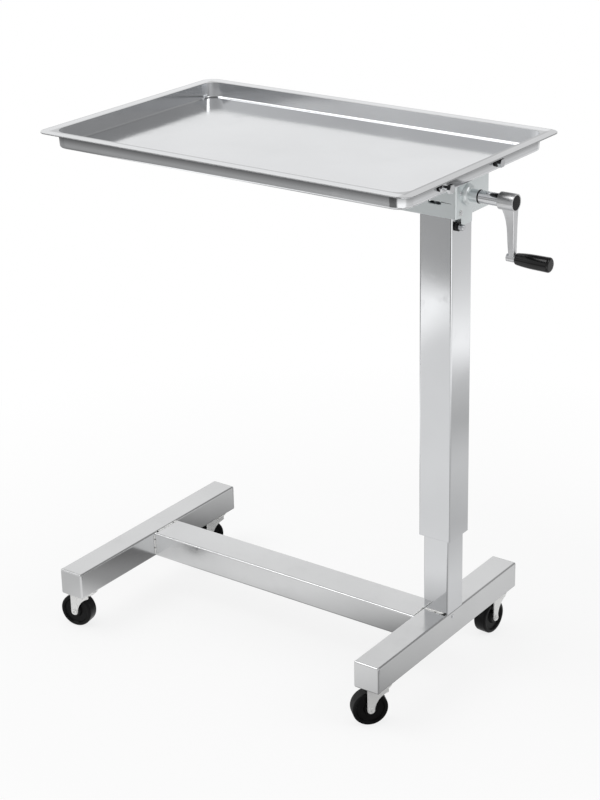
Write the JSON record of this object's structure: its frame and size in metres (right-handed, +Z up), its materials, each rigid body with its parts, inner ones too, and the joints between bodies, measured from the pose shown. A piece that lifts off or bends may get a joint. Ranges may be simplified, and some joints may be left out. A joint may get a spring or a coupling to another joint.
{
  "type": "mayo instrument stand",
  "caption": "Wheeled instrument stand with a crank-raised square column and a pressed rectangular tray.",
  "frame": {"origin": "on the floor under the middle of the overall outline at rest, casters as in the picture", "axes": "+X from the tray's overhanging end towards the crank, +Y away from the casters seen in front, +Z up"},
  "size_m": [0.7047, 0.393, 0.7575],
  "materials": {
    "stainless": "near-mirror polish",
    "zinc": "zinc plate, satin",
    "chrome": "bright",
    "dark_washer": "black, semi-gloss",
    "steel": "machined",
    "cast_arm": "satin casting",
    "black_plastic": "glossy",
    "wheel_rubber": "semi-gloss moulding",
    "nylon": "moulded",
    "brass": "machined"
  },
  "bodies": {
    "base": {"left_leg": "stainless", "right_leg": "stainless", "leg_end_caps": "stainless", "cross_beam": "stainless", "lower_column": "stainless", "nut_carrier": "nylon", "spindle_nut": "brass", "upper_guide": "nylon", "foot_screw": "stainless", "caster_stems": "zinc", "caster_stem_nuts": "zinc"},
    "spindle": {"spindle": "steel", "spindle_gear": "steel", "thrust_washers": "steel"},
    "crank": {"crank_shaft": "steel", "crank_gear": "steel", "shaft_ring": "dark_washer", "shaft_sleeve": "chrome", "crank_arm": "cast_arm", "hub_cap": "dark_washer", "grip_pin": "chrome"},
    "grip": {"grip": "black_plastic"},
    "swivel_front_right": {"caster_fork_front_right": "zinc", "caster_axle_front_right": "zinc"},
    "wheel_front_right": {"caster_wheel_front_right": "wheel_rubber", "caster_bush_front_right": "nylon"},
    "swivel_front_left": {"caster_fork_front_left": "zinc", "caster_axle_front_left": "zinc"},
    "wheel_front_left": {"caster_wheel_front_left": "wheel_rubber", "caster_bush_front_left": "nylon"},
    "swivel_rear_right": {"caster_fork_rear_right": "zinc", "caster_axle_rear_right": "zinc"},
    "wheel_rear_right": {"caster_wheel_rear_right": "wheel_rubber", "caster_bush_rear_right": "nylon"},
    "swivel_rear_left": {"caster_fork_rear_left": "zinc", "caster_axle_rear_left": "zinc"},
    "wheel_rear_left": {"caster_wheel_rear_left": "wheel_rubber", "caster_bush_rear_left": "nylon"},
    "lift": {"bearing_plate": "zinc", "column_bracket": "zinc", "crank_boss": "zinc", "crank_bush": "brass", "frame_far_bar": "stainless", "frame_front_bar": "stainless", "frame_near_bar": "stainless", "frame_rear_bar": "stainless", "gear_housing": "zinc", "housing_screws": "chrome", "lower_guide": "nylon", "stop_bolt": "chrome", "stop_nut": "dark_washer", "stop_washers": "dark_washer", "tray": "stainless", "tray_bolts": "chrome", "tray_nuts": "chrome", "tray_washers": "dark_washer", "upper_column": "stainless"}
  },
  "joints": [
    {"name": "lift_slide", "type": "slide", "parent": "base", "child": "lift", "axis": [0, 0, 1], "range_m": [-0.1, 0.25]},
    {"name": "crank_turn", "type": "hinge", "parent": "lift", "child": "crank", "pos_m": [0.19661, 0.018, 0.7075], "axis": [-1, 0, 0], "range_deg": [-4500, 11250]},
    {"name": "spindle_turn", "type": "hinge", "parent": "lift", "child": "spindle", "pos_m": [0.19661, 0.018, 0.673], "axis": [0, 0, 1], "range_deg": [-11250, 4500]},
    {"name": "grip_spin", "type": "hinge", "parent": "crank", "child": "grip", "pos_m": [0.3276, 0.018, 0.6335], "axis": [1, 0, 0], "continuous": true},
    {"name": "swivel_front_right", "type": "hinge", "parent": "base", "child": "swivel_front_right", "pos_m": [0.19661, -0.1475, 0.055], "axis": [0, 0, 1], "continuous": true},
    {"name": "wheel_turn_front_right", "type": "hinge", "parent": "swivel_front_right", "child": "wheel_front_right", "pos_m": [0.18791, -0.15716, 0.025], "axis": [0.7431, -0.6691, 0], "continuous": true},
    {"name": "swivel_front_left", "type": "hinge", "parent": "base", "child": "swivel_front_left", "pos_m": [-0.31339, -0.1675, 0.055], "axis": [0, 0, 1], "continuous": true},
    {"name": "wheel_turn_front_left", "type": "hinge", "parent": "swivel_front_left", "child": "wheel_front_left", "pos_m": [-0.32616, -0.16998, 0.025], "axis": [0.1908, -0.9816, 0], "continuous": true},
    {"name": "swivel_rear_right", "type": "hinge", "parent": "base", "child": "swivel_rear_right", "pos_m": [0.19661, 0.1605, 0.055], "axis": [0, 0, 1], "continuous": true},
    {"name": "wheel_turn_rear_right", "type": "hinge", "parent": "swivel_rear_right", "child": "wheel_rear_right", "pos_m": [0.1957, 0.14753, 0.025], "axis": [0.9976, -0.0698, 0], "continuous": true},
    {"name": "swivel_rear_left", "type": "hinge", "parent": "base", "child": "swivel_rear_left", "pos_m": [-0.31339, 0.1405, 0.055], "axis": [0, 0, 1], "continuous": true},
    {"name": "wheel_turn_rear_left", "type": "hinge", "parent": "swivel_rear_left", "child": "wheel_rear_left", "pos_m": [-0.31989, 0.12924, 0.025], "axis": [0.866, -0.5, 0], "continuous": true}
  ],
  "couplings": [
    {"joint": "crank_turn", "follows": "lift_slide", "rad_per_m": 785.4},
    {"joint": "spindle_turn", "follows": "lift_slide", "rad_per_m": -785.4}
  ]
}
